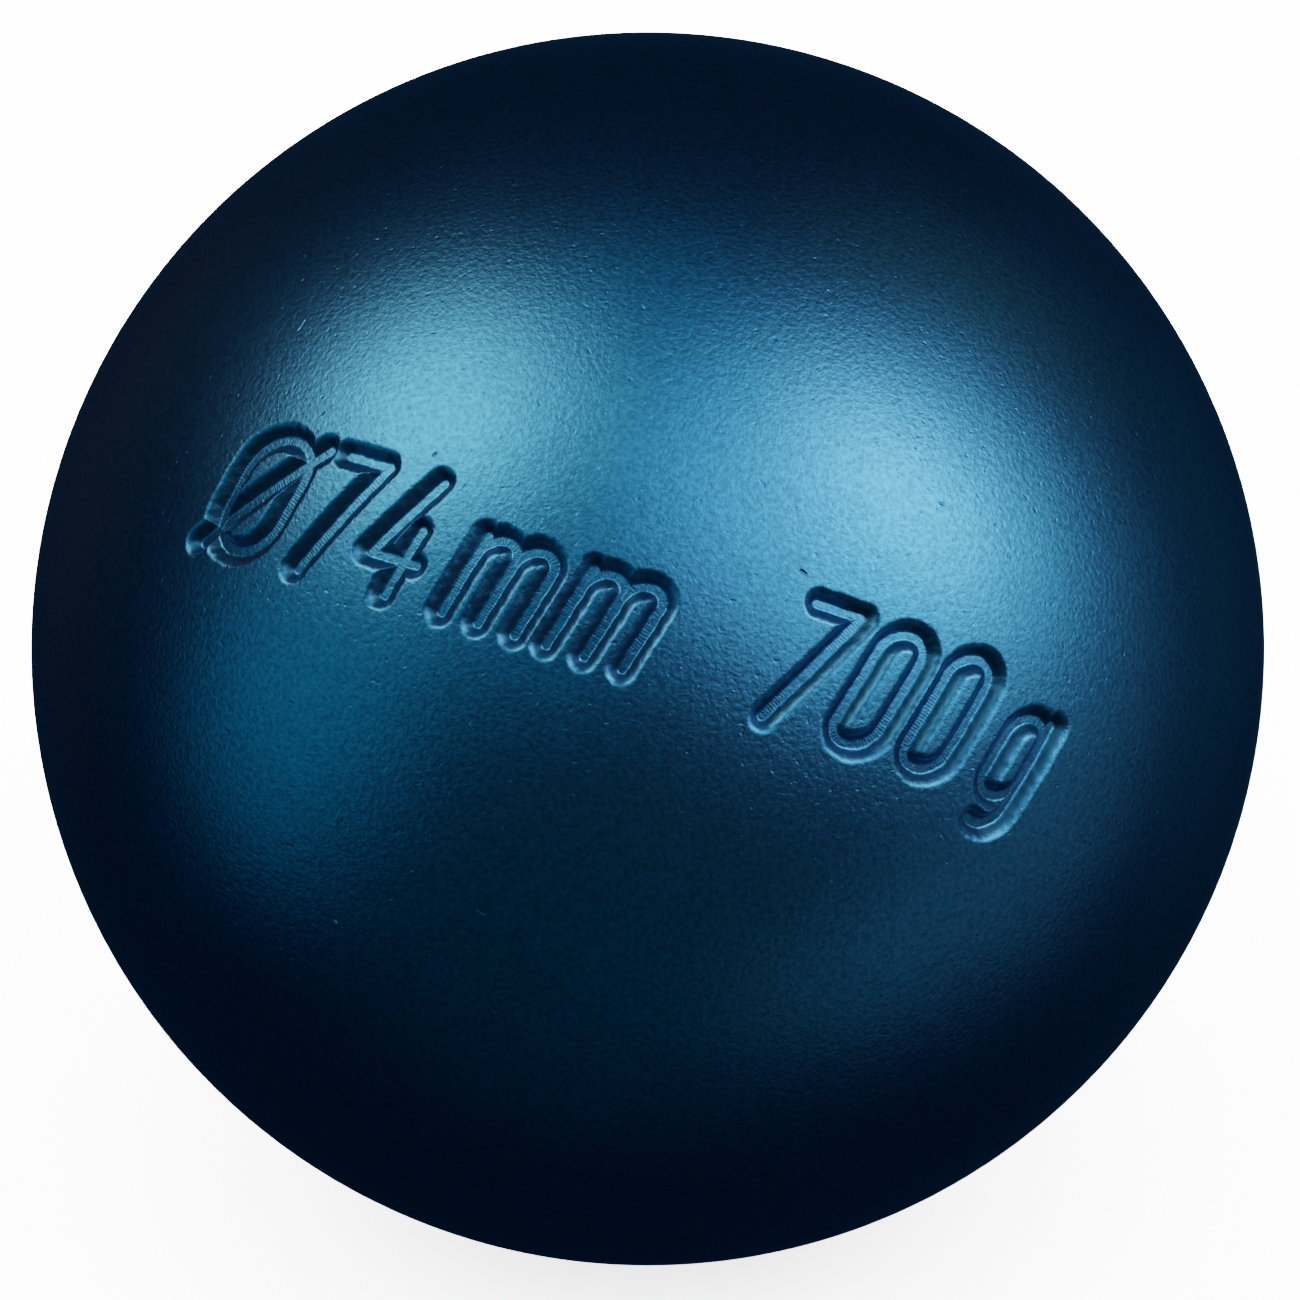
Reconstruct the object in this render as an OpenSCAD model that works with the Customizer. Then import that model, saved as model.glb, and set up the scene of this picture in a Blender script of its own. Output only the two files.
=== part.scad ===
// Petanque boule: a hollow steel ball, thrown by hand.
// Two half shells are stamped hot from round blanks, and their rims are turned: the lower one
// gets a centring spigot, the upper one the counterbore it plugs into, and both get one flank
// of a weld groove. Two runs of weld metal fill the groove, and the ball is ground round.
// Origin at the ball's centre, +Z up through the middle of the upper half shell.

/* [Ball] */
// Outer diameter, as ground after welding
ball_d = 74; // [70.5:0.5:80]
// Wall thickness of both half shells, which sets the mass
wall = 6.15; // [5.5:0.05:8]

/* [Spigot] */
// Thickness of the spigot ring on the lower half shell
spigot_wall = 1.6; // [1:0.1:2]
// Height of the spigot above the plane where the rims meet
spigot_h = 2; // [1.2:0.1:4]
// Lead-in chamfer on the spigot's outer edge
spigot_chamfer = 0.3; // [0.1:0.05:0.6]
// Gap round the spigot and above its end
spigot_gap = 0.05; // [0.02:0.01:0.2]

/* [Weld] */
// Width of the land on which the two rims butt, under the weld
root_face = 0.8; // [0.5:0.1:1.2]
// Angle between the two flanks of the weld groove
groove_angle = 60; // [50:1:90]
// Depth of the root pass, the first run of weld metal
root_pass_h = 1.6; // [0.8:0.1:2]

/* [Hidden] */
$fn = 180;
ball_r = ball_d / 2;
cavity_r = ball_r - wall;
spigot_r = cavity_r + spigot_wall;
groove_r = spigot_r + root_face;
root_pass_r = groove_r + root_pass_h;
// The groove's section is drawn this far past the ball
overrun = 1;
groove_reach = ball_r - groove_r + overrun;
groove_rise = groove_reach * tan(groove_angle / 2);
finish_colour = [0.24, 0.53, 0.66];
weld_colour = [0.45, 0.47, 0.5];

// Section of the whole wall, a ring round the centre
module wall_section() {
    difference() {
        circle(r = ball_r);
        circle(r = cavity_r);
    }
}

// The half plane to the right of the axis, on one side of the parting plane
module half_plane(side) {
    translate([0, side < 0 ? -ball_r : 0])
        square([ball_r, ball_r]);
}

// Section of the weld groove, a V that opens outwards
module groove_section() {
    polygon([
        [groove_r, 0],
        [groove_r + groove_reach, groove_rise],
        [groove_r + groove_reach, -groove_rise]
    ]);
}

// Section of the spigot, with its lead-in chamfer
module spigot_section() {
    polygon([
        [cavity_r, 0],
        [spigot_r, 0],
        [spigot_r, spigot_h - spigot_chamfer],
        [spigot_r - spigot_chamfer, spigot_h],
        [cavity_r, spigot_h]
    ]);
}

// Section of the counterbore that takes the spigot with its gap
module counterbore_section() {
    square([spigot_r + spigot_gap, spigot_h + spigot_gap]);
}

// Bowl with the counterbore in its rim, the open side down
module upper_half_shell() {
    color(finish_colour)
        rotate_extrude()
            difference() {
                intersection() {
                    wall_section();
                    half_plane(1);
                }
                groove_section();
                counterbore_section();
            }
}

// Bowl with the spigot on its rim, the open side up
module lower_half_shell() {
    color(finish_colour)
        rotate_extrude()
            union() {
                difference() {
                    intersection() {
                        wall_section();
                        half_plane(-1);
                    }
                    groove_section();
                }
                spigot_section();
            }
}

// First run of weld metal, at the bottom of the groove
module weld_root_pass() {
    color(weld_colour)
        rotate_extrude()
            intersection() {
                groove_section();
                translate([0, -groove_rise])
                    square([root_pass_r, 2 * groove_rise]);
            }
}

// Second run, which fills the groove and is ground flush with the ball
module weld_cap_pass() {
    color(finish_colour)
        rotate_extrude()
            difference() {
                intersection() {
                    groove_section();
                    circle(r = ball_r);
                }
                translate([0, -groove_rise])
                    square([root_pass_r, 2 * groove_rise]);
            }
}

upper_half_shell();
lower_half_shell();
weld_root_pass();
weld_cap_pass();
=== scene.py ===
"""Looks of a satin blue petanque boule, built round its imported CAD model.

Two half shells and the outer weld run are spun from short profiles. The upper shell carries one
line of engraved marks, its diameter and its weight, in plain sloped figures. The inner weld run
keeps its CAD shape and gets a material.
"""

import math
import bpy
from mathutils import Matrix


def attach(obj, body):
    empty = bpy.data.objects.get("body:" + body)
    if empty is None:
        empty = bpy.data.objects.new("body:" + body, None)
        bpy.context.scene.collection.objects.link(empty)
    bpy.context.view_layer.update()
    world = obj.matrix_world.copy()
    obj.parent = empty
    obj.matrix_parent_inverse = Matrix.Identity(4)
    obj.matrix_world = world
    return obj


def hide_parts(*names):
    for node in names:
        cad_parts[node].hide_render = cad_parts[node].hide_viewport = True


bl_info = {
    "name": "Petanque Boule",
    "version": (1, 0, 0),
    "blender": (4, 5, 0),
    "location": "View3D > Sidebar > Boule",
    "description": "Satin blue steel boule with engraved size marks, on a pale studio floor",
    "category": "Add Mesh",
}

from types import SimpleNamespace

import bmesh
import bpy
import numpy as np
from bpy.props import FloatProperty, FloatVectorProperty, IntProperty, PointerProperty
from mathutils import Matrix, Vector

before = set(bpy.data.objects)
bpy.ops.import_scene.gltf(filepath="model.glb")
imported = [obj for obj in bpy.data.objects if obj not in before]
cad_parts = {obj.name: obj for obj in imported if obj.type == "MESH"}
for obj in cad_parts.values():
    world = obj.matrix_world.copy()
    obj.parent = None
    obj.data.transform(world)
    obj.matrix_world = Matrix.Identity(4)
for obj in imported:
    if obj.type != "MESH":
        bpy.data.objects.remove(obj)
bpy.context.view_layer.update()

MM = 0.001
BODY = "root"
UPPER, LOWER = "upper_half_shell", "lower_half_shell"
ROOT_RUN, CAP_RUN = "weld_root_pass", "weld_cap_pass"
CUT_FLOOR, CUT_WALL, CUT_RUN = "cut_floor", "cut_wall", "cut_run"


def reach_and_height(node):
    """Distance from the ball's axis and height of each of a CAD node's vertices."""
    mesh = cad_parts[node].data
    flat = np.empty(3 * len(mesh.vertices), np.float32)
    mesh.vertices.foreach_get("co", flat)
    x, y, z = flat.reshape(-1, 3).astype(float).T
    return np.hypot(x, y), z


def measure_frame():
    """The sizes of the CAD pieces that the looks have to keep, in metres."""
    tiny = 0.01 * MM
    upper_reach, upper_z = reach_and_height(UPPER)
    lower_reach, lower_z = reach_and_height(LOWER)
    root_reach, root_z = reach_and_height(ROOT_RUN)
    _, cap_z = reach_and_height(CAP_RUN)
    bore = upper_reach[upper_z < tiny].min()
    spigot_top = lower_z.max()
    spigot_end = lower_reach[lower_z > spigot_top - tiny].max()
    spigot_side = lower_reach[lower_z > tiny].max()
    return SimpleNamespace(
        ball=upper_z.max(),
        cavity=np.hypot(upper_reach, upper_z).min(),
        bore=bore,
        bore_top=upper_z[np.abs(upper_reach - bore) < tiny].max(),
        spigot=spigot_side,
        spigot_top=spigot_top,
        chamfer=spigot_side - spigot_end,
        land=root_reach.min(),
        bead=root_reach.max(),
        bead_edge=root_z.max(),
        rim=cap_z.max(),
    )


SIZE = measure_frame()


class BouleMeshSettings(bpy.types.PropertyGroup):
    """How finely the spun pieces are divided."""

    turn_steps: IntProperty(
        name="Steps round", description="Faces round the ball's axis", default=192, min=48, max=512
    )
    arc_rows: IntProperty(
        name="Rows", description="Rows of faces from pole to weld", default=48, min=12, max=128
    )
    inner_rows: IntProperty(
        name="Inner rows", description="Rows of faces on the cavity's wall", default=24, min=6, max=64
    )
    cut_levels: IntProperty(
        name="Cut levels", description="Times the faces near the marks are halved",
        default=4, min=1, max=5,
    )


class BouleMarkSettings(bpy.types.PropertyGroup):
    """Place and size of the engraved line of marks."""

    latitude: FloatProperty(
        name="Latitude", description="Height of the line's middle on the ball",
        default=math.radians(37.6), subtype="ANGLE",
    )
    azimuth: FloatProperty(
        name="Azimuth", description="Turn of the line's middle from the front",
        default=math.radians(1.1), subtype="ANGLE",
    )
    roll: FloatProperty(
        name="Roll", description="How far the line falls to the right",
        default=math.radians(18.7), subtype="ANGLE",
    )
    cap_height: FloatProperty(
        name="Cap height", description="Height of the figures, between centrelines",
        default=7.3 * MM, unit="LENGTH", subtype="DISTANCE",
    )
    base_drop: FloatProperty(
        name="Base drop", description="How far the base line lies under the line's middle",
        default=3.4 * MM, unit="LENGTH", subtype="DISTANCE",
    )
    slant: FloatProperty(
        name="Slant", description="Lean of the upright strokes",
        default=math.radians(15), subtype="ANGLE",
    )
    diameter_start: FloatProperty(
        name="Diameter starts", description="Start of the diameter mark along the line",
        default=-30 * MM, unit="LENGTH", subtype="DISTANCE",
    )
    weight_start: FloatProperty(
        name="Weight starts", description="Start of the weight mark along the line",
        default=6.8 * MM, unit="LENGTH", subtype="DISTANCE",
    )
    cut_half_width: FloatProperty(
        name="Half width", description="Half the width of a cut at the skin",
        default=0.8 * MM, unit="LENGTH", subtype="DISTANCE",
    )
    cut_depth: FloatProperty(
        name="Depth", description="Depth of a cut", default=0.7 * MM, unit="LENGTH", subtype="DISTANCE"
    )
    wall_angle: FloatProperty(
        name="Wall angle", description="Steepness of a cut's walls",
        default=math.radians(54), subtype="ANGLE",
    )
    edge_rounding: FloatProperty(
        name="Edge rounding", description="Softness of the cut's upper edge, as a depth",
        default=0.36 * MM, unit="LENGTH", subtype="DISTANCE",
    )
    foot_rounding: FloatProperty(
        name="Foot rounding", description="Softness of the cut's lower corner, as a depth",
        default=0.1 * MM, unit="LENGTH", subtype="DISTANCE",
    )
    edge_wobble: FloatProperty(
        name="Edge wobble", description="How far a cut's edges stray from a clean line",
        default=0.035 * MM, unit="LENGTH", subtype="DISTANCE",
    )
    nick_half_width: FloatProperty(
        name="Nick half width", description="Half the width of the small nicks in the skin",
        default=0.14 * MM, unit="LENGTH", subtype="DISTANCE",
    )


class BouleFinishSettings(bpy.types.PropertyGroup):
    """Colour and relief of the satin skin."""

    colour: FloatVectorProperty(
        name="Colour", description="Metal colour of the blue skin",
        default=(0.066, 0.3, 0.6), subtype="COLOR", size=3, min=0, max=1,
    )
    roughness: FloatProperty(
        name="Roughness", description="Roughness of the skin",
        default=0.297, min=0, max=1, subtype="FACTOR",
    )
    # The grain's tone follows the peened relief. Besides changing from grain to grain, it paints shade into
    # the relief's hollows and a highlight onto its crests
    grain: FloatProperty(
        name="Grain", description="How much the skin's tone changes from grain to grain",
        default=0.26, min=0, max=1, subtype="FACTOR",
    )
    # Painted shade: a darker copy of the skin's blue, laid on the walls of the cuts, stands in for the
    # shade inside them
    painted_wall_shade: FloatVectorProperty(
        name="Wall colour", description="Metal colour of a cut's walls",
        default=(0.028, 0.135, 0.235), subtype="COLOR", size=3, min=0, max=1,
    )
    wall_roughness: FloatProperty(
        name="Wall roughness", description="Roughness of a cut's walls",
        default=0.45, min=0, max=1, subtype="FACTOR",
    )
    peen_height: FloatProperty(
        name="Peen height", description="Height of the fine peened relief",
        default=0.027 * MM, unit="LENGTH", subtype="DISTANCE",
    )
    pit_depth: FloatProperty(
        name="Pit depth", description="Depth of the sparse tiny pits between the peened dimples",
        default=0.018 * MM, unit="LENGTH", subtype="DISTANCE",
    )
    chatter_height: FloatProperty(
        name="Chatter height", description="Height of the cutter's ripples on the floor of a cut",
        default=0.0025 * MM, unit="LENGTH", subtype="DISTANCE",
    )
    chatter_pitch: FloatProperty(
        name="Chatter pitch", description="Distance between the cutter's ripples",
        default=0.19 * MM, unit="LENGTH", subtype="DISTANCE",
    )


class BouleStageSettings(bpy.types.PropertyGroup):
    """Camera, floor and light round the ball."""

    camera_elevation: FloatProperty(
        name="Camera elevation", description="Height of the camera over the horizon",
        default=math.radians(35), subtype="ANGLE",
    )
    camera_distance: FloatProperty(
        name="Camera distance", description="From the camera to the ball's centre",
        default=1.0, unit="LENGTH", subtype="DISTANCE",
    )
    ball_share: FloatProperty(
        name="Ball share", description="Ball's outline as a share of the picture's width",
        default=0.949, min=0.05, max=1, subtype="FACTOR",
    )
    shift_right: FloatProperty(
        name="Camera right", description="The camera's step to the right",
        default=0.13 * MM, unit="LENGTH", subtype="DISTANCE",
    )
    shift_down: FloatProperty(
        name="Camera down", description="The camera's step down",
        default=0.07 * MM, unit="LENGTH", subtype="DISTANCE",
    )
    light_distance: FloatProperty(
        name="Light distance", description="From each soft light to the ball's centre",
        default=1.5, unit="LENGTH", subtype="DISTANCE",
    )
    floor_light: FloatProperty(
        name="Floor light", description="Strength of the light on the floor", default=40, min=0
    )


def frame_axes(azimuth, elevation):
    """Right, up and outward axes of a view of the ball from that side."""
    out = Vector((
        math.sin(azimuth) * math.cos(elevation),
        -math.cos(azimuth) * math.cos(elevation),
        math.sin(elevation),
    ))
    right = Vector((math.cos(azimuth), math.sin(azimuth), 0))
    return right, out.cross(right), out


def rolled(right, up, angle):
    """The same two axes, turned towards each other by an angle."""
    return (
        right * math.cos(angle) + up * math.sin(angle),
        up * math.cos(angle) - right * math.sin(angle),
    )


def arc(x, y, width, height, start, end):
    """Points along part of an oval, in the glyph's own units, from one angle to another in degrees."""
    step = 15
    count = max(2, round(abs(end - start) / step))
    turns = [math.radians(start + (end - start) * i / count) for i in range(count + 1)]
    return [(x + width * math.cos(t), y + height * math.sin(t)) for t in turns]


def oval(width, low, high):
    """A closed upright stroke with round ends and straight sides."""
    r = width / 2
    top = arc(r, high - r, r, r, 0, 180)
    bottom = arc(r, low + r, r, r, 180, 360)
    return top + bottom + top[:1]


X_HEIGHT = 0.7


def figure_0():
    """Nought: one oval."""
    width = 0.385
    return width, [oval(width, 0, 1)]


def figure_4():
    """Four: a slanting stroke with its bar, and a short upright."""
    width, apex, bar = 0.425, 0.24, 0.3
    upright, upright_top = 0.31, 0.58
    return width, [[(apex, 1), (0, bar), (width, bar)], [(upright, upright_top), (upright, 0)]]


def figure_7():
    """Seven: a bar and a slanting stroke."""
    width, foot = 0.4, 0.12
    return width, [[(0, 1), (width, 1), (foot, 0)]]


def sign_diameter():
    """Diameter sign: an oval struck through."""
    width, overhang = 0.62, 0.07
    slash = [(-overhang, 0), (width + overhang, 1)]
    return width, [oval(width, 0, 1), slash]


def letter_m():
    """Small m: a stem and two arches."""
    r = 0.162
    left = arc(r, X_HEIGHT - r, r, r, 180, 0) + [(2 * r, 0)]
    right = arc(3 * r, X_HEIGHT - r, r, r, 180, 0) + [(4 * r, 0)]
    return 4 * r, [[(0, 0), (0, X_HEIGHT)], left, right]


def letter_g():
    """Small g: a bowl, a stem and its hook."""
    width, hook, hook_turn = 0.37, 0.17, -120
    tail = arc(width - hook, -hook / 2, hook, hook, 0, hook_turn)
    return width, [oval(width, 0, X_HEIGHT), [(width, X_HEIGHT)] + tail]


GLYPHS = {
    "Ø": sign_diameter, "0": figure_0, "4": figure_4, "7": figure_7, "m": letter_m, "g": letter_g,
}
DIAMETER_MARK = "Ø74 mm"
WEIGHT_MARK = "700 g"
GLYPH_GAP, WORD_GAP = 0.27, 0.41


def mark_strokes(text, start, marks):
    """Centrelines of a mark as points along and across the engraved line, in metres."""
    strokes, pen = [], 0
    for i, sign in enumerate(text):
        if sign == " ":
            continue
        width, lines = GLYPHS[sign]()
        for line in lines:
            strokes.append([
                (
                    start + (pen + x + y * math.tan(marks.slant)) * marks.cap_height,
                    y * marks.cap_height - marks.base_drop,
                )
                for x, y in line
            ])
        pen += width + (WORD_GAP if text[i + 1:i + 2] == " " else GLYPH_GAP)
    return strokes


def segments_of(strokes):
    """Start, end and distance already run of every straight piece of the strokes, as arrays."""
    starts, ends, runs = [], [], []
    for line in strokes:
        run = 0
        for a, b in zip(line, line[1:]):
            starts.append(a)
            ends.append(b)
            runs.append(run)
            run += math.dist(a, b)
    return np.array(starts), np.array(ends), np.array(runs)


def nearest_on(segments, points):
    """For each point: its distance to the strokes, the way out from them, and the run along them."""
    starts, ends, runs = segments
    step = ends - starts
    length = np.linalg.norm(step, axis=1)
    distance = np.empty(len(points))
    outward = np.empty((len(points), 2))
    along = np.empty(len(points))
    batch, on_line = 20000, 1e-9
    for low in range(0, len(points), batch):
        p = points[low:low + batch]
        offset = p[:, None] - starts
        share = np.clip((offset * step).sum(-1) / length**2, 0, 1)
        gap = offset - share[..., None] * step
        far = np.linalg.norm(gap, axis=-1)
        pick = far.argmin(axis=1)
        rows = np.arange(len(p))
        distance[low:low + batch] = far[rows, pick]
        outward[low:low + batch] = gap[rows, pick] / np.maximum(far[rows, pick], on_line)[:, None]
        along[low:low + batch] = runs[pick] + share[rows, pick] * length[pick]
    return distance, outward, along


def soft_max(a, b, softness):
    """The larger of two values, with the corner between them rounded."""
    blend = np.maximum(softness - np.abs(a - b), 0) / softness
    return np.maximum(a, b) + blend**2 * softness / 4


def cut_profile(distance, marks):
    """Depth of the cut at a distance from its centreline."""
    wall = (marks.cut_half_width - distance) * math.tan(marks.wall_angle)
    open_cut = soft_max(wall, 0 * wall, marks.edge_rounding)
    return -soft_max(-open_cut, 0 * wall - marks.cut_depth, marks.foot_rounding)


NICKS = (
    # along and across the line of marks, turn in degrees, length and depth; lengths in millimetres
    (7.3, 5.3, -15, 0.3, 0.08),
    (-29.1, 10.7, 85, 0.7, 0.02),
    (-5.3, -20.0, -15, 0.5, 0.05),
    (-16.0, -23.6, -25, 0.2, 0.07),
    (14.8, 12.0, 0, 0.25, 0.03),
    (-15.9, 5.3, 60, 0.15, 0.04),
    (41, -9, 30, 0.6, 0.06),
    (63, 14, -50, 0.9, 0.05),
    (88, -4, 75, 0.3, 0.08),
    (-58, 8, 10, 0.5, 0.06),
    (-84, 19, -35, 0.7, 0.05),
    (109, 6, 20, 0.4, 0.07),
)


def nick_strokes():
    """Each nick as a short stroke along and across the line of marks, in metres."""
    strokes = []
    for along, across, turn, length, _ in NICKS:
        half = length / 2
        step = half * math.cos(math.radians(turn)), half * math.sin(math.radians(turn))
        ends = (along - step[0], across - step[1]), (along + step[0], across + step[1])
        strokes.append([(x * MM, y * MM) for x, y in ends])
    return strokes


def wander(points):
    """A smooth unevenness between about -1 and 1, over places given along and across the line."""
    # The factors turn millimetres into phase, and are uneven so that the waves never line up
    x, y = points.T / MM
    slow = np.sin(3.1 * x + 1.7 * np.sin(2.3 * y)) + np.sin(3.7 * y + 1.9 * np.sin(2.9 * x))
    quick = np.sin(8.3 * x + 5.1 * y) + np.sin(9.7 * y - 6.1 * x)
    return slow / 3 + quick / 6


def gradient(field, points):
    """How fast a field changes along and across the line, at each point."""
    step = 0.002 * MM
    along, across = np.array((step, 0)), np.array((0, step))
    return np.stack([
        (field(points + along) - field(points - along)) / (2 * step),
        (field(points + across) - field(points - across)) / (2 * step),
    ], axis=1)


class Engraving:
    """The line of marks, laid round the ball on a great circle of its own, and the skin's nicks."""

    def __init__(self, marks):
        right, up, self.out = frame_axes(marks.azimuth, marks.latitude)
        self.right, self.up = rolled(right, up, -marks.roll)
        self.marks = marks
        self.segments = segments_of(
            mark_strokes(DIAMETER_MARK, marks.diameter_start, marks)
            + mark_strokes(WEIGHT_MARK, marks.weight_start, marks)
        )
        self.nicks = segments_of(nick_strokes())
        self.floor_edge = marks.cut_half_width - marks.cut_depth / math.tan(marks.wall_angle)
        self.shoulder = marks.edge_rounding / math.tan(marks.wall_angle)

    def flatten(self, places):
        """Places on the ball as distances along and across the line."""
        unit = places / np.linalg.norm(places, axis=1)[:, None]
        turn = np.arctan2(unit @ np.array(self.right), unit @ np.array(self.out))
        rise = np.arcsin(np.clip(unit @ np.array(self.up), -1, 1))
        return np.stack([turn, rise], axis=1) * SIZE.ball

    def wrap(self, points):
        """The way out of the ball at points given along and across the line, and both tangents."""
        turn, rise = (points / SIZE.ball).T[:, :, None]
        right, up, out = (np.array(axis) for axis in (self.right, self.up, self.out))
        level = out * np.cos(turn) + right * np.sin(turn)
        outward = level * np.cos(rise) + up * np.sin(rise)
        along = right * np.cos(turn) - out * np.sin(turn)
        across = up * np.cos(rise) - level * np.sin(rise)
        return outward, along, across

    def clearance(self, places, margin):
        """Distance of places on the ball from the nearest nick, or mark with a margin round it."""
        points = self.flatten(places)
        to_mark = nearest_on(self.segments, points)[0] - self.marks.cut_half_width - margin
        to_nick = nearest_on(self.nicks, points)[0] - self.marks.nick_half_width
        return np.minimum(to_mark, to_nick)

    def nick_depth(self, points):
        """Depth of the nicks at points given along and across the line."""
        depth = np.zeros(len(points))
        for start, end, nick in zip(*self.nicks[:2], NICKS):
            far = nearest_on((start[None], end[None], np.zeros(1)), points)[0]
            share = np.clip(1 - far / self.marks.nick_half_width, 0, 1)
            depth += nick[-1] * MM * share**2 * (3 - 2 * share)
        return depth

    def cut(self, places, cell):
        """Where the places go when the marks are cut, their normals, and what the finish reads."""
        points = self.flatten(places)
        distance, way, along = nearest_on(self.segments, points)
        distance += self.marks.edge_wobble * wander(points)
        snap_share = 0.45
        close = np.abs(distance - self.floor_edge) < snap_share * cell
        points[close] += way[close] * (self.floor_edge - distance[close])[:, None]
        distance[close] = self.floor_edge
        outward, right, up = self.wrap(points)
        depth = cut_profile(distance, self.marks)
        step = 0.001 * MM
        rise = cut_profile(distance + step, self.marks) - cut_profile(distance - step, self.marks)
        slope = (rise / (2 * step))[:, None] * (
            way + self.marks.edge_wobble * gradient(wander, points)
        ) + gradient(self.nick_depth, points)
        normals = outward + slope[:, :1] * right + slope[:, 1:] * up
        normals /= np.linalg.norm(normals, axis=1)[:, None]
        moved = outward * (SIZE.ball - depth - self.nick_depth(points))[:, None]
        # The wall mask paints shade into the cuts. It is darker the deeper the wall goes, full from half
        # the cut's depth down, and the floor keeps the skin's colour. The same mask also raises the walls'
        # roughness
        fade = 0.06 * MM
        full_wall = self.marks.cut_depth / 2
        floor = np.clip((self.floor_edge + fade - distance) / fade, 0, 1)
        wall = np.clip(depth / full_wall, 0, 1) * (1 - floor)
        return moved, normals, {CUT_FLOOR: floor, CUT_WALL: wall, CUT_RUN: along}


def place_vert(bm, reach, height):
    """A vertex of a profile, in the XZ plane."""
    return bm.verts.new((reach, 0, height))


def draw_line(bm, vert, reach, height):
    """Extrudes the profile's last vertex to a new place."""
    made = bmesh.ops.extrude_vert_indiv(bm, verts=[vert])["verts"][0]
    made.co = (reach, 0, height)
    return made


def draw_arc(bm, vert, angle, rows):
    """Turns the profile's last vertex round the ball's centre, which leaves an arc."""
    made = bmesh.ops.spin(bm, geom=[vert], cent=(0, 0, 0), axis=(0, 1, 0), angle=angle, steps=rows)
    return next(item for item in made["geom_last"] if isinstance(item, bmesh.types.BMVert))


def spin_profile(bm, steps):
    """Spins the profile round the ball's axis into a closed solid with its faces outwards."""
    bmesh.ops.spin(
        bm, geom=bm.verts[:] + bm.edges[:], cent=(0, 0, 0), axis=(0, 0, 1),
        angle=math.tau, steps=steps, use_merge=True,
    )
    same_place, skin_depth = 0.001 * MM, 0.01 * MM
    bmesh.ops.remove_doubles(bm, verts=bm.verts, dist=same_place)
    bmesh.ops.recalc_face_normals(bm, faces=bm.faces)
    for face in bm.faces:
        face.smooth = True
        on_skin = all(v.co.length > SIZE.ball - skin_depth for v in face.verts)
        face.material_index = 0 if on_skin else 1
    sharp = math.radians(20)
    for edge in bm.edges:
        edge.smooth = edge.calc_face_angle(0) < sharp


def skin_verts(bm):
    """The vertices of the ball's outer skin."""
    return list({v for face in bm.faces if face.material_index == 0 for v in face.verts})


def places_of(verts):
    """Vertices as an array of places."""
    return np.array([v.co for v in verts])


def refine_near(bm, engraving, mesh_settings):
    """Halves the skin's faces near the marks, again and again, and keeps them on the ball."""
    cell = math.tau * SIZE.ball / mesh_settings.turn_steps
    near_share = 0.3
    for level in range(mesh_settings.cut_levels):
        verts = skin_verts(bm)
        margin = engraving.shoulder if level + 1 < mesh_settings.cut_levels else 0
        gaps = engraving.clearance(places_of(verts), margin)
        near = {v for v, gap in zip(verts, gaps) if gap < near_share * cell}
        edges = {
            e for face in bm.faces
            if face.material_index == 0 and any(v in near for v in face.verts)
            for e in face.edges
        }
        bmesh.ops.subdivide_edges(bm, edges=list(edges), cuts=1, use_grid_fill=True)
        bmesh.ops.triangulate(bm, faces=[f for f in bm.faces if len(f.verts) > 4])
        for vert in skin_verts(bm):
            vert.co = vert.co.normalized() * SIZE.ball
        cell /= 2
    return cell


def finish_mesh(bm, name, materials, skin_normals=None):
    """Makes the object of a spun piece, with exact normals on the ball's skin."""
    mesh = bpy.data.meshes.new(name)
    bm.to_mesh(mesh)
    bm.free()
    for material in materials:
        mesh.materials.append(material)
    corners = np.empty(len(mesh.loops), np.int32)
    mesh.loops.foreach_get("vertex_index", corners)
    flat = np.empty(3 * len(mesh.vertices), np.float32)
    mesh.vertices.foreach_get("co", flat)
    radial = flat.reshape(-1, 3) / SIZE.ball if skin_normals is None else skin_normals
    skin = np.array([p.material_index == 0 for p in mesh.polygons])
    sides = np.array([p.loop_total for p in mesh.polygons])
    normals = radial[corners] * np.repeat(skin, sides)[:, None]
    mesh.normals_split_custom_set([tuple(n) for n in normals])
    piece = bpy.data.objects.new(name, mesh)
    bpy.context.scene.collection.objects.link(piece)
    return piece


def set_point_values(mesh, name, index, values):
    """Stores a number at some vertices and zero at the rest, for the materials to read."""
    everywhere = np.zeros(len(mesh.vertices), np.float32)
    everywhere[index] = values
    attribute = mesh.attributes.new(name, "FLOAT", "POINT")
    attribute.data.foreach_set("value", everywhere)


def add_node(tree, kind, values=(), **settings):
    """Adds a shader node, with its settings and the values of its named sockets."""
    made = tree.nodes.new(kind)
    for key, value in settings.items():
        setattr(made, key, value)
    for key, value in dict(values).items():
        if isinstance(value, bpy.types.NodeSocket):
            tree.links.new(value, made.inputs[key])
        else:
            made.inputs[key].default_value = value
    return made


def new_material(name):
    """An empty node material with its output and its surface shader."""
    material = bpy.data.materials.new(name)
    material.use_nodes = True
    tree = material.node_tree
    tree.nodes.clear()
    output = add_node(tree, "ShaderNodeOutputMaterial")
    surface = add_node(tree, "ShaderNodeBsdfPrincipled")
    tree.links.new(surface.outputs["BSDF"], output.inputs["Surface"])
    return material, tree, surface


def noise(tree, place, scale, detail, roughness=0.5):
    """A noise pattern on the object's own coordinates, by features per metre."""
    made = add_node(
        tree, "ShaderNodeTexNoise",
        {"Vector": place, "Scale": scale, "Detail": detail, "Roughness": roughness},
    )
    return made.outputs["Fac"]


def remap(tree, value, low, high, to_low, to_high):
    """A value carried from one range to another, and held there."""
    made = add_node(
        tree, "ShaderNodeMapRange",
        {"Value": value, "From Min": low, "From Max": high, "To Min": to_low, "To Max": to_high},
    )
    return made.outputs["Result"]


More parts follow.
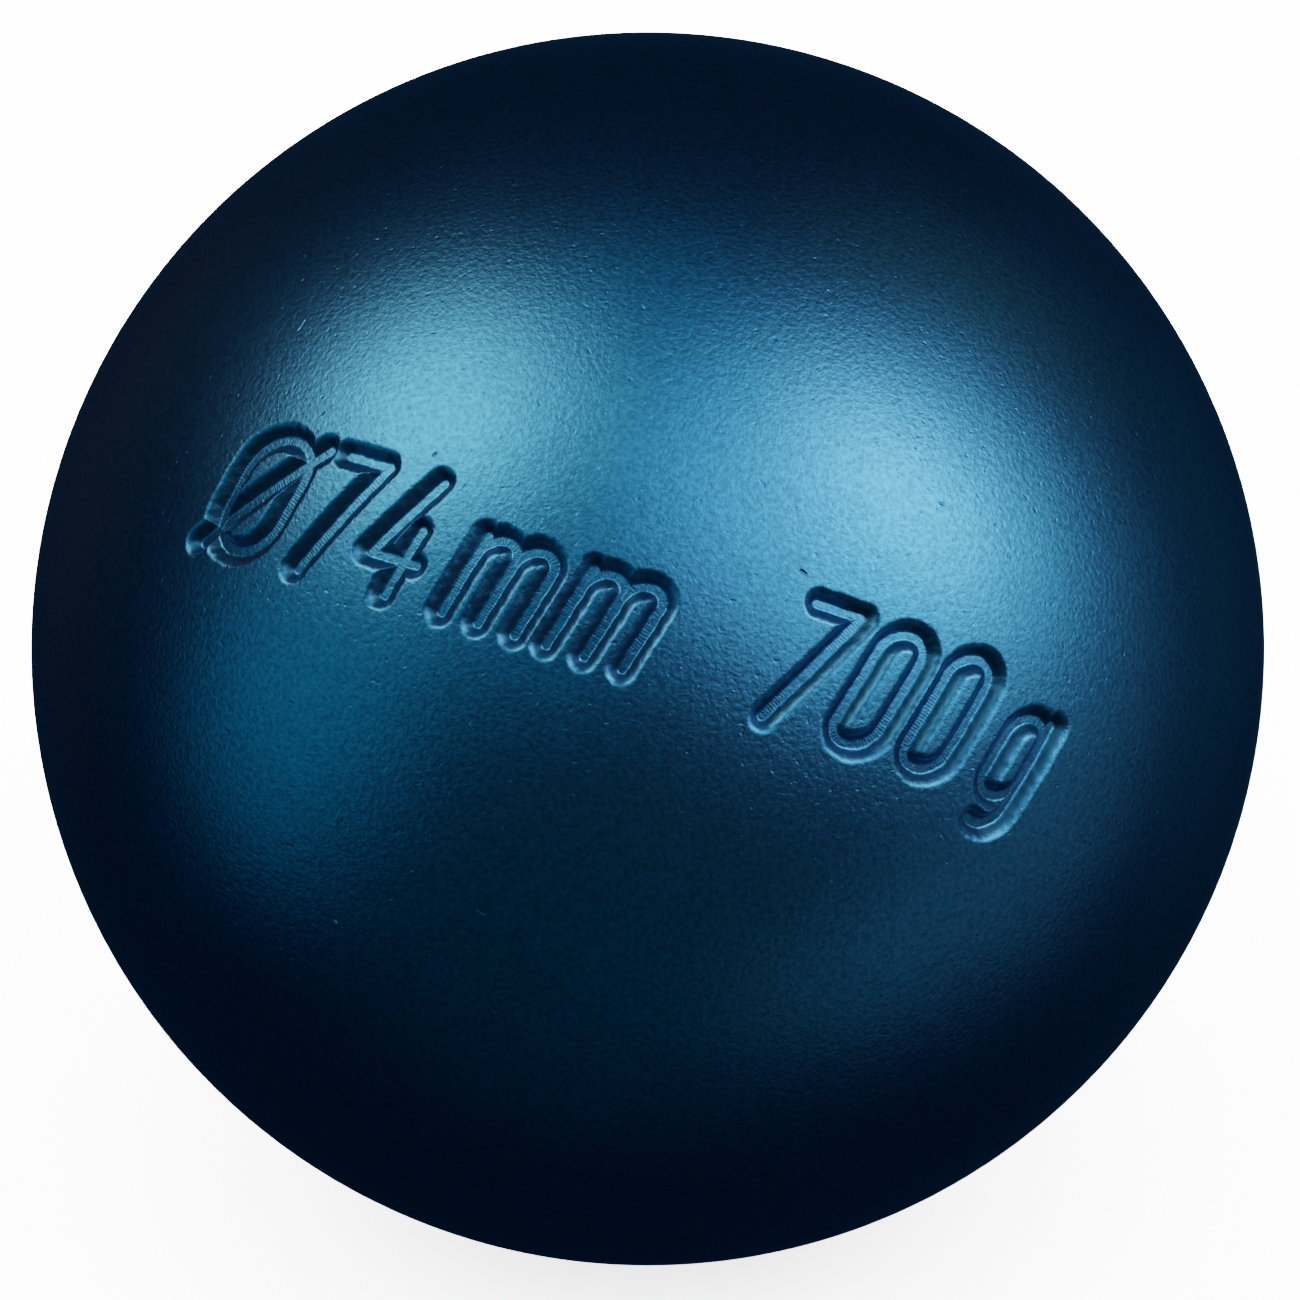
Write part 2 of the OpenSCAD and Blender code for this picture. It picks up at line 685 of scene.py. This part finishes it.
def combine(tree, operation, a, b):
    """Two values combined by one sum."""
    made = add_node(tree, "ShaderNodeMath", operation=operation)
    for socket, value in zip(made.inputs, (a, b)):
        if isinstance(value, bpy.types.NodeSocket):
            tree.links.new(value, socket)
        else:
            socket.default_value = value
    return made.outputs["Value"]


def bump(tree, height, distance, normal=None):
    """The surface's normal, raised by a height pattern."""
    values = {"Height": height, "Distance": distance, "Strength": 1.0}
    if normal is not None:
        values["Normal"] = normal
    return add_node(tree, "ShaderNodeBump", values).outputs["Normal"]


def cutter_ripples(tree, place, run, floor, pitch):
    """Ripples across the floor of a cut, uneven in step and strength, as a hand-held cutter leaves them."""
    drift_scale, most_drift = 900, 2
    strength_scale, least_strength = 450, 0.1
    turn = combine(tree, "MULTIPLY", run, math.tau / pitch)
    drift = remap(tree, noise(tree, place, drift_scale, 1), 0.3, 0.7, -most_drift, most_drift)
    wave = combine(tree, "SINE", combine(tree, "ADD", turn, drift), 0)
    strength = remap(tree, noise(tree, place, strength_scale, 1), 0.35, 0.65, least_strength, 1)
    return combine(tree, "MULTIPLY", combine(tree, "MULTIPLY", wave, strength), floor)


def blue_satin(finish):
    """Blue metal skin: cloudy colour, peened relief with painted shade in its hollows, painted shade on the
    cut walls, and cutter ripples where the marks are cut.
    """
    material, tree, surface = new_material("blue_satin_steel")
    place = add_node(tree, "ShaderNodeTexCoord").outputs["Object"]
    floor, wall, run = (
        add_node(tree, "ShaderNodeAttribute", attribute_name=name).outputs["Fac"]
        for name in (CUT_FLOOR, CUT_WALL, CUT_RUN)
    )
    cloud_scale, peen_scale, pit_scale = 90, 3200, 2300
    cloud = remap(tree, noise(tree, place, cloud_scale, 3), 0.3, 0.7, 0.95, 1.05)
    peen = noise(tree, place, peen_scale, 1.5, 0.7)
    # The tone follows the same noise as the peened relief: a grain of tone that also paints shade into the
    # hollows and a highlight onto the crests
    grain = remap(tree, peen, 0.3, 0.7, 1 - finish.grain, 1 + finish.grain)
    shade = combine(tree, "MULTIPLY", cloud, grain)
    skin = add_node(tree, "ShaderNodeHueSaturation", {"Color": (*finish.colour, 1), "Value": shade})
    # Painted shade on the walls of the cuts: the skin's colour gives way to the darker painted wall shade
    # as the walls go deeper
    mixed = add_node(
        tree, "ShaderNodeMixRGB",
        {"Fac": wall, "Color1": skin.outputs["Color"], "Color2": (*finish.painted_wall_shade, 1)},
    )
    tree.links.new(mixed.outputs["Color"], surface.inputs["Base Color"])
    tree.links.new(
        remap(tree, wall, 0, 1, finish.roughness, finish.wall_roughness), surface.inputs["Roughness"]
    )
    surface.inputs["Metallic"].default_value = 1.0
    relief = bump(tree, peen, finish.peen_height)
    pits = remap(tree, noise(tree, place, pit_scale, 1), 0.68, 0.82, 1, 0)
    relief = bump(tree, pits, finish.pit_depth, relief)
    ripples = cutter_ripples(tree, place, run, floor, finish.chatter_pitch)
    tree.links.new(bump(tree, ripples, finish.chatter_height, relief), surface.inputs["Normal"])
    return material


def raw_steel():
    """Grey steel of the turned rims and the cavity, as it is before any finish."""
    material, tree, surface = new_material("raw_steel")
    place = add_node(tree, "ShaderNodeTexCoord").outputs["Object"]
    cloud_scale, grain_scale, grain_height = 300, 1500, 0.02 * MM
    ramp = add_node(tree, "ShaderNodeValToRGB", {"Fac": noise(tree, place, cloud_scale, 4)})
    ramp.color_ramp.elements[0].color = (0.2, 0.2, 0.21, 1)
    ramp.color_ramp.elements[1].color = (0.42, 0.42, 0.43, 1)
    tree.links.new(ramp.outputs["Color"], surface.inputs["Base Color"])
    surface.inputs["Metallic"].default_value = 1.0
    surface.inputs["Roughness"].default_value = 0.5
    relief = bump(tree, noise(tree, place, grain_scale, 3), grain_height)
    tree.links.new(relief, surface.inputs["Normal"])
    return material


def shared_materials():
    """The two materials that the ball's pieces share, made once."""
    found = bpy.data.materials.get("blue_satin_steel")
    if found:
        return [found, bpy.data.materials["raw_steel"]]
    return [blue_satin(bpy.context.scene.boule_finish), raw_steel()]


def place_piece(piece, node):
    """Hangs a finished piece on the ball's body and hides the CAD node that it stands for."""
    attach(piece, BODY)
    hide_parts(node)


def add_camera(scene, stage):
    """Sets the camera at the photograph's angle."""
    right, up, out = frame_axes(0, stage.camera_elevation)
    data = bpy.data.cameras.new("camera")
    outline = SIZE.ball / math.sqrt(stage.camera_distance**2 - SIZE.ball**2)
    data.sensor_width = 36
    data.lens = data.sensor_width * stage.ball_share / (2 * outline)
    data.clip_start = 0.1
    camera = bpy.data.objects.new("camera", data)
    place = out * stage.camera_distance + right * stage.shift_right - up * stage.shift_down
    camera.matrix_world = Matrix.Translation(place) @ Matrix((right, up, out)).transposed().to_4x4()
    scene.collection.objects.link(camera)
    scene.camera = camera


SOFT_LIGHTS = (
    # Name, azimuth, elevation, half width, half height, roll and colour at the middle. Angles are in
    # degrees, and half sizes are shares of the light's distance
    ("left", -49.5, 39.5, 0.67, 0.58, 8, (3.12, 2.65, 2.27)),
    ("right", 52, 26, 0.34, 0.57, 31, (3.5, 1.95, 1.7)),
    ("bridge", 44, 22, 1.3, 0.9, -22, (1.35, 1.65, 1.79)),
    ("warm", 28, 24, 0.38, 0.46, 10, (0.36, 0, 0.1)),
    ("shoulder", 97, 47, 0.75, 0.5, -52, (0.055, 0.06, 0.032)),
    ("far_right", 130, 6, 0.55, 0.8, 0, (0.003, 0.022, 0.021)),
    ("far_left", -136, 18, 0.55, 0.7, 0, (0.021, 0.01, 0.003)),
    ("above", -13, 36, 0.7, 1.5, -10, (0.005, 0.22, 0.25)),
    ("low_left", -61, 0, 0.64, 1.24, -45, (0.02, 0.25, 0.26)),
    ("low_right", 84, -24, 0.57, 2.0, -22, (0.08, 0.115, 0.11)),
    ("low", -7, -47, 2.0, 2.0, 0, (0, 0.026, 0.02)),
)
ROOM_COLOUR = (0, 0.0065, 0.016)
BACKDROP_STRENGTH = 14.0


def fade_to_edges(data, colour):
    """Makes an area light brightest at its middle and dark at its edges."""
    data.use_nodes = True
    tree = data.node_tree
    tree.nodes.clear()
    middle, edge = (0.5, 0.5, 0), 0.5
    place = add_node(tree, "ShaderNodeTexCoord").outputs["UV"]
    reach = add_node(tree, "ShaderNodeVectorMath", {0: place, 1: middle}, operation="DISTANCE")
    glow = add_node(
        tree, "ShaderNodeMapRange", {"Value": reach.outputs["Value"], "From Min": edge, "From Max": 0},
        interpolation_type="SMOOTHSTEP",
    )
    emission = add_node(
        tree, "ShaderNodeEmission", {"Color": (*colour, 1), "Strength": glow.outputs["Result"]}
    )
    output = add_node(tree, "ShaderNodeOutputLight")
    tree.links.new(emission.outputs["Emission"], output.inputs["Surface"])


def add_soft_light(name, azimuth, elevation, half_width, half_height, roll, colour, stage):
    """A soft box round the ball, in a direction counted from the camera."""
    view = Matrix(frame_axes(0, stage.camera_elevation)).transposed()
    right, up, out = frame_axes(math.radians(azimuth), math.radians(elevation))
    # The front, -Y, becomes the view's way to the camera, and +Z its way up
    turn = Matrix(((1, 0, 0), (0, 0, 1), (0, -1, 0)))
    right, up = rolled(right, up, math.radians(roll))
    axes = view @ turn @ Matrix((right, up, out)).transposed()
    data = bpy.data.lights.new(name, "AREA")
    data.shape = "RECTANGLE"
    data.size = 2 * half_width * stage.light_distance
    data.size_y = 2 * half_height * stage.light_distance
    # The glow stays the same when the size changes
    data.energy = math.pi * data.size * data.size_y
    fade_to_edges(data, colour)
    light = bpy.data.objects.new(name, data)
    light.matrix_world = Matrix.Translation(axes.col[2] * stage.light_distance) @ axes.to_4x4()
    light.visible_camera = False
    bpy.context.scene.collection.objects.link(light)


def split_by_camera(tree, seen, unseen):
    """One shader for what the camera sees directly, another for everything else."""
    fac = add_node(tree, "ShaderNodeLightPath").outputs["Is Camera Ray"]
    mix = add_node(tree, "ShaderNodeMixShader", {"Fac": fac})
    tree.links.new(unseen, mix.inputs[1])
    tree.links.new(seen, mix.inputs[2])
    return mix.outputs["Shader"]


def set_world(scene):
    """White to the camera, and a dark room to the ball."""
    world = bpy.data.worlds.new("studio")
    world.use_nodes = True
    scene.world = world
    tree = world.node_tree
    tree.nodes.clear()
    white = add_node(tree, "ShaderNodeBackground", {"Color": (1, 1, 1, 1), "Strength": BACKDROP_STRENGTH})
    dark = add_node(tree, "ShaderNodeBackground", {"Color": (*ROOM_COLOUR, 1), "Strength": 1.0})
    output = add_node(tree, "ShaderNodeOutputWorld")
    both = split_by_camera(tree, white.outputs[0], dark.outputs[0])
    tree.links.new(both, output.inputs["Surface"])


def add_floor(stage):
    """A wide pale floor under the ball, with a light of its own."""
    bm = bmesh.new()
    half_width = 6
    bmesh.ops.create_grid(bm, x_segments=1, y_segments=1, size=half_width)
    bmesh.ops.translate(bm, verts=bm.verts, vec=(0, 0, -SIZE.ball))
    mesh = bpy.data.meshes.new("floor")
    bm.to_mesh(mesh)
    bm.free()
    material, _, surface = new_material("pale_floor")
    surface.inputs["Base Color"].default_value = (0.85, 0.85, 0.86, 1)
    surface.inputs["Roughness"].default_value = 0.9
    surface.inputs["Emission Color"].default_value = (1, 1, 1, 1)
    surface.inputs["Emission Strength"].default_value = 2.0
    mesh.materials.append(material)
    floor = bpy.data.objects.new("floor", mesh)
    for ray in ("visible_glossy", "visible_diffuse", "visible_shadow"):
        setattr(floor, ray, False)
    bpy.context.scene.collection.objects.link(floor)
    data = bpy.data.lights.new("floor_light", "SUN")
    data.energy = stage.floor_light
    data.angle = math.radians(120)
    light = bpy.data.objects.new("floor_light", data)
    bpy.context.scene.collection.objects.link(light)
    lit = bpy.data.collections.new("lit_by_floor_light")
    lit.objects.link(floor)
    light.light_linking.receiver_collection = lit


class BOULE_OT_set_stage(bpy.types.Operator):
    """Adds the camera, the soft lights, the room and the floor"""

    bl_idname = "boule.set_stage"
    bl_label = "Set Stage"

    def execute(self, context):
        scene, stage = context.scene, context.scene.boule_stage
        scene.view_settings.view_transform = "Filmic"
        scene.view_settings.look = "None"
        add_camera(scene, stage)
        for values in SOFT_LIGHTS:
            add_soft_light(*values, stage)
        set_world(scene)
        add_floor(stage)
        return {"FINISHED"}


class BOULE_OT_add_upper_shell(bpy.types.Operator):
    """Spins the upper half shell and engraves its marks"""

    bl_idname = "boule.add_upper_shell"
    bl_label = "Add Upper Shell"

    def execute(self, context):
        settings = context.scene.boule_mesh
        bm = bmesh.new()
        vert = place_vert(bm, 0, SIZE.ball)
        vert = draw_arc(bm, vert, math.acos(SIZE.rim / SIZE.ball), settings.arc_rows)
        vert = draw_line(bm, vert, SIZE.land, 0)
        vert = draw_line(bm, vert, SIZE.bore, 0)
        vert = draw_line(bm, vert, SIZE.bore, SIZE.bore_top)
        vert = draw_line(bm, vert, math.sqrt(SIZE.cavity**2 - SIZE.bore_top**2), SIZE.bore_top)
        draw_arc(bm, vert, -math.acos(SIZE.bore_top / SIZE.cavity), settings.inner_rows)
        spin_profile(bm, settings.turn_steps)
        engraving = Engraving(context.scene.boule_marks)
        cell = refine_near(bm, engraving, settings)
        verts = skin_verts(bm)
        moved, normals, masks = engraving.cut(places_of(verts), cell)
        bm.verts.index_update()
        index = [v.index for v in verts]
        for vert, place in zip(verts, moved):
            vert.co = place
        skin_normals = np.zeros((len(bm.verts), 3))
        skin_normals[index] = normals
        piece = finish_mesh(bm, "engraved_upper_shell", shared_materials(), skin_normals)
        for name, values in masks.items():
            set_point_values(piece.data, name, index, values)
        place_piece(piece, UPPER)
        return {"FINISHED"}


class BOULE_OT_add_lower_shell(bpy.types.Operator):
    """Spins the lower half shell with its spigot"""

    bl_idname = "boule.add_lower_shell"
    bl_label = "Add Lower Shell"

    def execute(self, context):
        settings = context.scene.boule_mesh
        bm = bmesh.new()
        vert = place_vert(bm, 0, -SIZE.ball)
        vert = draw_arc(bm, vert, -math.acos(SIZE.rim / SIZE.ball), settings.arc_rows)
        vert = draw_line(bm, vert, SIZE.land, 0)
        vert = draw_line(bm, vert, SIZE.spigot, 0)
        vert = draw_line(bm, vert, SIZE.spigot, SIZE.spigot_top - SIZE.chamfer)
        vert = draw_line(bm, vert, SIZE.spigot - SIZE.chamfer, SIZE.spigot_top)
        vert = draw_line(bm, vert, SIZE.cavity, SIZE.spigot_top)
        vert = draw_line(bm, vert, SIZE.cavity, 0)
        draw_arc(bm, vert, math.radians(90), settings.inner_rows)
        spin_profile(bm, settings.turn_steps)
        piece = finish_mesh(bm, "plain_lower_shell", shared_materials())
        place_piece(piece, LOWER)
        return {"FINISHED"}


class BOULE_OT_add_weld_ring(bpy.types.Operator):
    """Spins the outer weld run, ground flush with the ball"""

    bl_idname = "boule.add_weld_ring"
    bl_label = "Add Weld Ring"

    def execute(self, context):
        settings = context.scene.boule_mesh
        bm = bmesh.new()
        skin_rows = 4
        half_angle = math.asin(SIZE.rim / SIZE.ball)
        first = place_vert(bm, SIZE.ball * math.cos(half_angle), SIZE.rim)
        vert = draw_arc(bm, first, 2 * half_angle, skin_rows)
        vert = draw_line(bm, vert, SIZE.bead, -SIZE.bead_edge)
        vert = draw_line(bm, vert, SIZE.bead, SIZE.bead_edge)
        bm.edges.new((vert, first))
        spin_profile(bm, settings.turn_steps)
        piece = finish_mesh(bm, "ground_weld_ring", shared_materials())
        place_piece(piece, CAP_RUN)
        return {"FINISHED"}


class BOULE_OT_finish_root_run(bpy.types.Operator):
    """Gives the inner weld run its metal"""

    bl_idname = "boule.finish_root_run"
    bl_label = "Finish Root Run"

    def execute(self, context):
        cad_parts[ROOT_RUN].material_slots[0].material = shared_materials()[1]
        return {"FINISHED"}


STEPS = (
    BOULE_OT_set_stage,
    BOULE_OT_add_upper_shell,
    BOULE_OT_add_lower_shell,
    BOULE_OT_add_weld_ring,
    BOULE_OT_finish_root_run,
)


class BOULE_PT_sidebar(bpy.types.Panel):
    """Lists the settings, and the steps that build the boule and its stage"""

    bl_idname = "BOULE_PT_sidebar"
    bl_label = "Petanque Boule"
    bl_space_type = "VIEW_3D"
    bl_region_type = "UI"
    bl_category = "Boule"

    def draw(self, context):
        for name, group in SETTINGS.items():
            box = self.layout.box()
            for setting in group.__annotations__:
                box.prop(getattr(context.scene, name), setting)
        for step in STEPS:
            self.layout.operator(step.bl_idname)


SETTINGS = {
    "boule_mesh": BouleMeshSettings,
    "boule_marks": BouleMarkSettings,
    "boule_finish": BouleFinishSettings,
    "boule_stage": BouleStageSettings,
}


def register():
    """Adds the settings, the steps and the sidebar's panel."""
    for name, group in SETTINGS.items():
        bpy.utils.register_class(group)
        setattr(bpy.types.Scene, name, PointerProperty(type=group))
    for kind in (*STEPS, BOULE_PT_sidebar):
        bpy.utils.register_class(kind)


def unregister():
    """Takes them away again, the last ones first."""
    for kind in (BOULE_PT_sidebar, *reversed(STEPS)):
        bpy.utils.unregister_class(kind)
    for name, group in SETTINGS.items():
        delattr(bpy.types.Scene, name)
        bpy.utils.unregister_class(group)


def main():
    """Builds the stage and every piece."""
    register()
    bpy.ops.boule.set_stage()
    bpy.ops.boule.add_upper_shell()
    bpy.ops.boule.add_lower_shell()
    bpy.ops.boule.add_weld_ring()
    bpy.ops.boule.finish_root_run()


if __name__ == "__main__":
    main()
